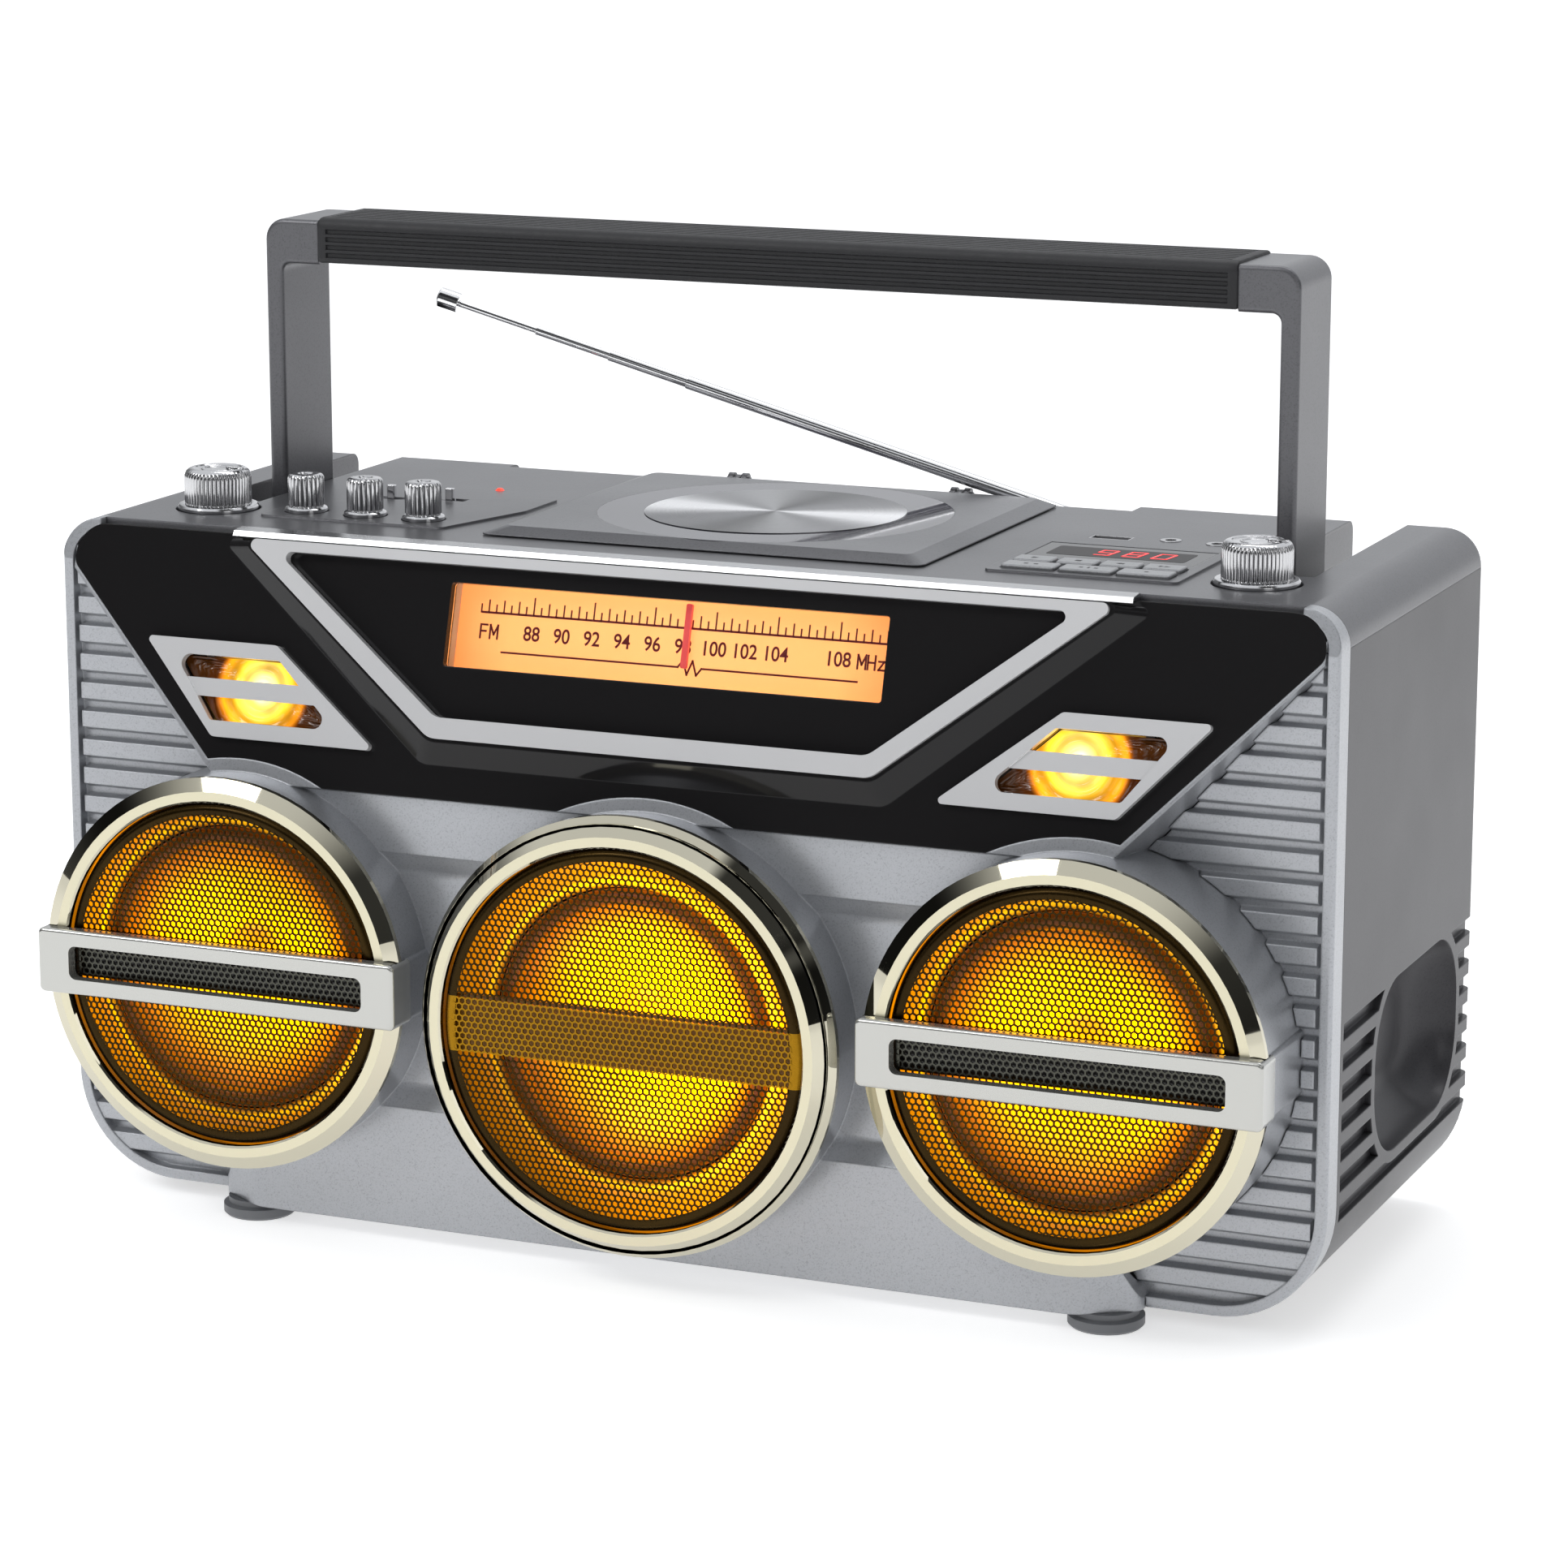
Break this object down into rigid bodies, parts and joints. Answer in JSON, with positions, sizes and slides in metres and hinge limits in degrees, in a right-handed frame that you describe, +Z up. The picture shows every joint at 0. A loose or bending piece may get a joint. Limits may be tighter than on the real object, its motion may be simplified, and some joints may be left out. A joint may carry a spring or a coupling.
{
  "type": "portable CD radio",
  "caption": "Portable CD and radio player with round speakers on the front, a sloping tuning fascia, top-loading disc lid, folding handle and telescopic antenna.",
  "frame": {"origin": "centre of the bounding box's underside, on the surface that the feet stand on", "axes": "+Z up, front facing -Y, +X towards the tuning knob"},
  "size_m": [0.429, 0.198, 0.317],
  "materials": {
    "silver_shell": "silver metallic paint on moulded plastic, satin",
    "silver_side": "silver-grey metallic paint on moulded plastic, satin",
    "black_gloss": "polished black",
    "chrome": "bright plated",
    "clear_lens": "clear moulded acrylic",
    "amber_scale": "backlit printed scale",
    "white_plastic": "moulded",
    "pointer_red": "moulded",
    "amber_lens": "tinted ribbed acrylic",
    "reflector": "vacuum plated",
    "ring_gold": "bright plated, slightly warm",
    "mesh_metal": "perforated sheet, satin",
    "silver_bar": "satin plated",
    "steel": "plain",
    "cone_paper": "pressed paper, lit from inside",
    "black_matte": "fine texture",
    "rubber_black": "matt, ribbed",
    "smoke_silver": "translucent silver, polished",
    "smoke_clear": "smoked clear acrylic",
    "brushed_disc": "spun",
    "smoke_gloss": "smoked display window",
    "circuit_green": "circuit laminate",
    "button_silver": "silver, bright edge",
    "handle_silver": "silver metallic paint, satin"
  },
  "bodies": {
    "cabinet": {"ac_inlet": "black_matte", "battery_contacts": "steel", "case_screws": "steel", "cd_mechanism": "black_matte", "cd_well": "black_matte", "center_band": "black_gloss", "circuit_boards": "circuit_green", "dial_lens": "clear_lens", "dial_light_box": "white_plastic", "dial_scale": "amber_scale", "display_module": "circuit_green", "display_window": "smoke_gloss", "fascia": "black_gloss", "fascia_trim": "chrome", "feet": "rubber_black", "front_frame": "silver_shell", "front_panel": "silver_shell", "handle_pins": "steel", "headlight_bezels": "chrome", "headlight_lenses": "amber_lens", "headlight_reflectors": "reflector", "rear_cabinet": "silver_side", "speaker_bars": "silver_bar", "speaker_drivers": "steel", "speaker_grilles": "mesh_metal", "speaker_rings": "ring_gold", "top_cover": "silver_shell", "top_sockets": "black_matte", "top_trim_strip": "chrome"},
    "handle": {"handle_frame": "handle_silver", "handle_grip": "rubber_black"},
    "lid": {"cd_lid": "smoke_silver", "lid_window": "smoke_clear", "lid_disc": "brushed_disc"},
    "volume_knob": {"volume_knob": "chrome"},
    "tuning_knob": {"tuning_knob": "chrome"},
    "bass_knob": {"bass_knob": "chrome"},
    "treble_knob": {"treble_knob": "chrome"},
    "balance_knob": {"balance_knob": "chrome"},
    "function_switch": {"function_switch": "chrome"},
    "band_switch": {"band_switch": "chrome"},
    "play_button": {"play_button": "button_silver"},
    "stop_button": {"stop_button": "button_silver"},
    "skip_back_button": {"skip_back_button": "button_silver"},
    "skip_forward_button": {"skip_forward_button": "button_silver"},
    "folder_button": {"folder_button": "button_silver"},
    "program_button": {"program_button": "button_silver"},
    "mode_button": {"mode_button": "button_silver"},
    "cd_spindle": {"cd_spindle": "black_matte"},
    "laser_sled": {"laser_sled": "black_matte"},
    "dial_pointer": {"dial_pointer": "pointer_red"},
    "antenna_base": {"antenna_base": "chrome"},
    "antenna_outer": {"antenna_outer": "chrome"},
    "antenna_second": {"antenna_second": "chrome"},
    "antenna_third": {"antenna_third": "chrome"},
    "antenna_tip": {"antenna_tip": "chrome"},
    "battery_door": {"battery_door": "silver_side"},
    "speaker_cone_left": {"speaker_cone_left": "cone_paper"},
    "speaker_cone_center": {"speaker_cone_center": "cone_paper"},
    "speaker_cone_right": {"speaker_cone_right": "cone_paper"}
  },
  "joints": [
    {"name": "handle_fold", "type": "hinge", "parent": "cabinet", "child": "handle", "pos_m": [0, 0.02965, 0.206], "axis": [-1, 0, 0], "range_deg": [0, 90]},
    {"name": "lid_open", "type": "hinge", "parent": "cabinet", "child": "lid", "pos_m": [0, 0.088, 0.2267], "axis": [-1, 0, 0], "range_deg": [0, 40]},
    {"name": "volume_turn", "type": "hinge", "parent": "cabinet", "child": "volume_knob", "pos_m": [-0.1772, -0.0234, 0.225], "axis": [0, 0, 1], "range_deg": [-150, 150]},
    {"name": "bass_turn", "type": "hinge", "parent": "cabinet", "child": "bass_knob", "pos_m": [-0.146, -0.021, 0.225], "axis": [0, 0, 1], "range_deg": [-140, 140]},
    {"name": "treble_turn", "type": "hinge", "parent": "cabinet", "child": "treble_knob", "pos_m": [-0.1245, -0.021, 0.225], "axis": [0, 0, 1], "range_deg": [-140, 140]},
    {"name": "balance_turn", "type": "hinge", "parent": "cabinet", "child": "balance_knob", "pos_m": [-0.1035, -0.021, 0.225], "axis": [0, 0, 1], "range_deg": [-140, 140]},
    {"name": "tuning_turn", "type": "hinge", "parent": "cabinet", "child": "tuning_knob", "pos_m": [0.1772, -0.0234, 0.225], "axis": [0, 0, -1], "range_deg": [-380, 330]},
    {"name": "pointer_slide", "type": "slide", "parent": "cabinet", "child": "dial_pointer", "axis": [1, 0, 0], "range_m": [-0.066, 0.058]},
    {"name": "function_slide", "type": "slide", "parent": "cabinet", "child": "function_switch", "axis": [1, 0, 0], "range_m": [-0.003, 0.003]},
    {"name": "band_slide", "type": "slide", "parent": "cabinet", "child": "band_switch", "axis": [1, 0, 0], "range_m": [-0.003, 0.003]},
    {"name": "play_press", "type": "slide", "parent": "cabinet", "child": "play_button", "axis": [0, 0, -1], "range_m": [0, 0.001], "stiffness_N_per_m": 300},
    {"name": "stop_press", "type": "slide", "parent": "cabinet", "child": "stop_button", "axis": [0, 0, -1], "range_m": [0, 0.001], "stiffness_N_per_m": 300},
    {"name": "skip_back_press", "type": "slide", "parent": "cabinet", "child": "skip_back_button", "axis": [0, 0, -1], "range_m": [0, 0.001], "stiffness_N_per_m": 300},
    {"name": "skip_forward_press", "type": "slide", "parent": "cabinet", "child": "skip_forward_button", "axis": [0, 0, -1], "range_m": [0, 0.001], "stiffness_N_per_m": 300},
    {"name": "folder_press", "type": "slide", "parent": "cabinet", "child": "folder_button", "axis": [0, 0, -1], "range_m": [0, 0.001], "stiffness_N_per_m": 300},
    {"name": "program_press", "type": "slide", "parent": "cabinet", "child": "program_button", "axis": [0, 0, -1], "range_m": [0, 0.001], "stiffness_N_per_m": 300},
    {"name": "mode_press", "type": "slide", "parent": "cabinet", "child": "mode_button", "axis": [0, 0, -1], "range_m": [0, 0.001], "stiffness_N_per_m": 300},
    {"name": "spindle_spin", "type": "hinge", "parent": "cabinet", "child": "cd_spindle", "pos_m": [0, 0.025, 0.212], "axis": [0, 0, 1], "continuous": true},
    {"name": "sled_slide", "type": "slide", "parent": "cabinet", "child": "laser_sled", "axis": [1, 0, 0], "range_m": [0, 0.02]},
    {"name": "antenna_swivel", "type": "hinge", "parent": "cabinet", "child": "antenna_base", "pos_m": [0.084, 0.093, 0.2193], "axis": [0, 1, 0], "range_deg": [0, 73]},
    {"name": "antenna_tilt", "type": "hinge", "parent": "antenna_base", "child": "antenna_outer", "pos_m": [0.084, 0.093, 0.2193], "axis": [-0.2882, 0, -0.9576], "range_deg": [0, 60]},
    {"name": "antenna_draw_second", "type": "slide", "parent": "antenna_outer", "child": "antenna_second", "axis": [-0.9491, -0.1328, 0.2857], "range_m": [-0.0278, 0.088]},
    {"name": "antenna_draw_third", "type": "slide", "parent": "antenna_second", "child": "antenna_third", "axis": [-0.9491, -0.1328, 0.2857], "range_m": [-0.0262, 0.088]},
    {"name": "antenna_draw_tip", "type": "slide", "parent": "antenna_third", "child": "antenna_tip", "axis": [-0.9491, -0.1328, 0.2857], "range_m": [-0.0275, 0.088]},
    {"name": "battery_door_open", "type": "hinge", "parent": "cabinet", "child": "battery_door", "pos_m": [0, 0.0977, 0.0174], "axis": [-1, 0, 0], "range_deg": [0, 90]},
    {"name": "cone_left_travel", "type": "slide", "parent": "cabinet", "child": "speaker_cone_left", "axis": [0, -1, 0], "range_m": [-0.001, 0.001], "stiffness_N_per_m": 2000},
    {"name": "cone_center_travel", "type": "slide", "parent": "cabinet", "child": "speaker_cone_center", "axis": [0, -1, 0], "range_m": [-0.001, 0.001], "stiffness_N_per_m": 2000},
    {"name": "cone_right_travel", "type": "slide", "parent": "cabinet", "child": "speaker_cone_right", "axis": [0, -1, 0], "range_m": [-0.001, 0.001], "stiffness_N_per_m": 2000}
  ],
  "couplings": [
    {"joint": "pointer_slide", "follows": "tuning_turn", "m_per_rad": 0.0095}
  ]
}
